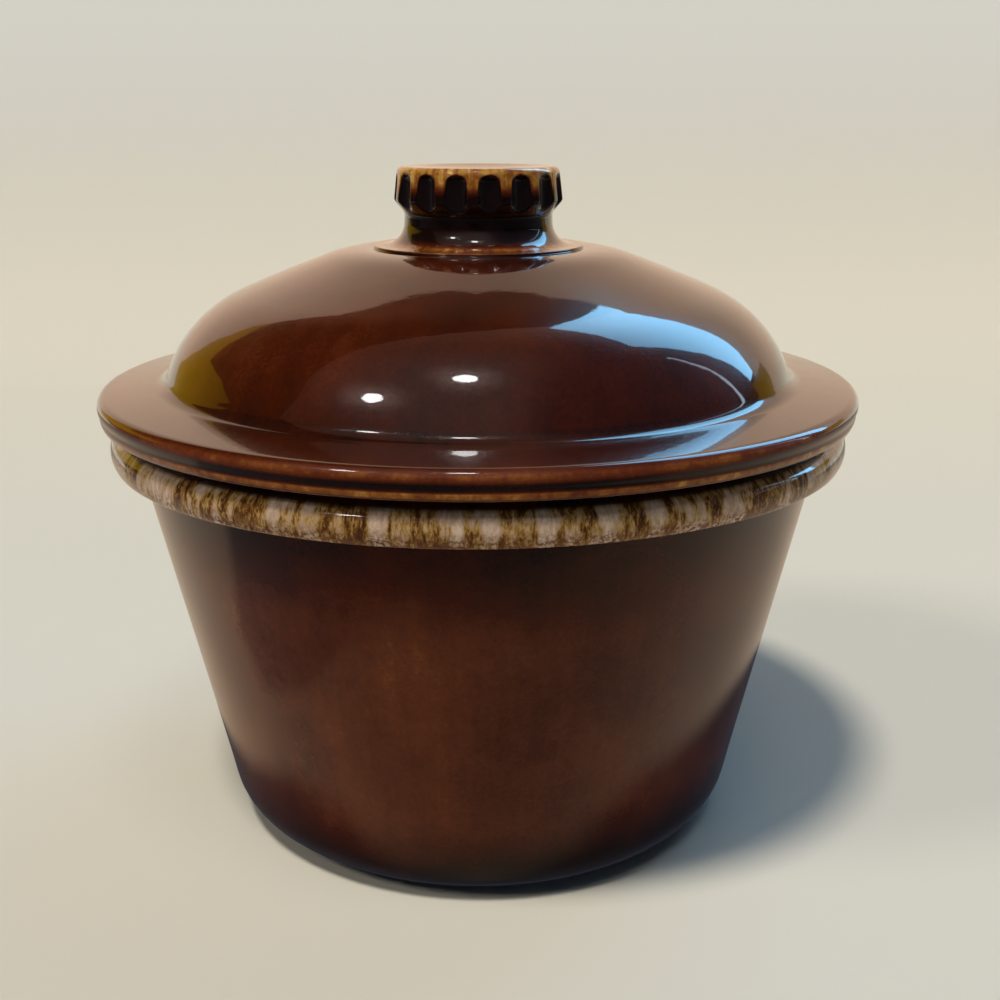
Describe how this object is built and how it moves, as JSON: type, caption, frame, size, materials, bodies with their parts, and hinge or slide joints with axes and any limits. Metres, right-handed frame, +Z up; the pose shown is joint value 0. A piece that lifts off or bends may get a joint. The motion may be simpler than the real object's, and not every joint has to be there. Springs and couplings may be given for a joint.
{
  "type": "lidded casserole dish",
  "caption": "Round stoneware casserole dish: tapered bowl with a thick rolled rim and a lift-off domed lid with a wide flange and a fluted knob.",
  "frame": {"origin": "centre of the bowl's foot, on the surface that it stands on", "axes": "+Z up along the bowl's axis; -Y faces the viewer of the picture"},
  "size_m": [0.21, 0.21, 0.1836],
  "materials": {
    "brown_glaze": "glossy brown glaze, thinning to tan on edges, with a streaked cream and brown band on the bowl's rim"
  },
  "bodies": {
    "bowl": {"bowl": "brown_glaze"},
    "lid": {"lid": "brown_glaze"}
  },
  "joints": [
    {"name": "lid_lift", "type": "slide", "parent": "bowl", "child": "lid", "axis": [0, 0, 1], "range_m": [0, 0.15]}
  ]
}
